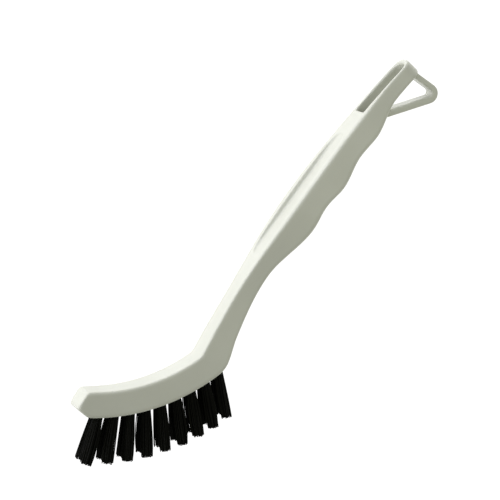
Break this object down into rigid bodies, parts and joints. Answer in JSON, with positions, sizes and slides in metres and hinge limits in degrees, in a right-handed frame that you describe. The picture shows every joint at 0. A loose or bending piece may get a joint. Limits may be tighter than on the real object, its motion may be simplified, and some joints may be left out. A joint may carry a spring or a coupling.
{
  "type": "pad cleaning brush",
  "caption": "Hand brush with a curved head of stapled bristle tufts and a one-piece moulded handle with finger swells, a thumb rest, a tail slot and a hanging loop.",
  "frame": {"origin": "middle of the bounding box in X and Y, on the plane that the brush lies on", "axes": "+X from the nose of the head to the tail, +Y towards the back of the handle and away from the bristle tips, +Z across the brush, up when it lies on its side"},
  "size_m": [0.236, 0.0584, 0.0264],
  "materials": {
    "moulded_plastic": "satin, off-white with a grey-green tint, fine moulding grain",
    "bristle": "black nylon filament",
    "anchor_wire": "drawn flat wire, cut ends"
  },
  "bodies": {
    "root": {"handle": "moulded_plastic", "tuft_c1_r1": "bristle", "tuft_c1_r2": "bristle", "tuft_c2_r1": "bristle", "tuft_c2_r2": "bristle", "tuft_c3_r1": "bristle", "tuft_c3_r2": "bristle", "tuft_c4_r1": "bristle", "tuft_c4_r2": "bristle", "tuft_c5_r1": "bristle", "tuft_c5_r2": "bristle", "tuft_c6_r1": "bristle", "tuft_c6_r2": "bristle", "tuft_c7_r1": "bristle", "tuft_c7_r2": "bristle", "tuft_c8_r1": "bristle", "tuft_c8_r2": "bristle", "tuft_c9_r1": "bristle", "tuft_c9_r2": "bristle", "anchor_c1_r1": "anchor_wire", "anchor_c1_r2": "anchor_wire", "anchor_c2_r1": "anchor_wire", "anchor_c2_r2": "anchor_wire", "anchor_c3_r1": "anchor_wire", "anchor_c3_r2": "anchor_wire", "anchor_c4_r1": "anchor_wire", "anchor_c4_r2": "anchor_wire", "anchor_c5_r1": "anchor_wire", "anchor_c5_r2": "anchor_wire", "anchor_c6_r1": "anchor_wire", "anchor_c6_r2": "anchor_wire", "anchor_c7_r1": "anchor_wire", "anchor_c7_r2": "anchor_wire", "anchor_c8_r1": "anchor_wire", "anchor_c8_r2": "anchor_wire", "anchor_c9_r1": "anchor_wire", "anchor_c9_r2": "anchor_wire"}
  },
  "joints": []
}
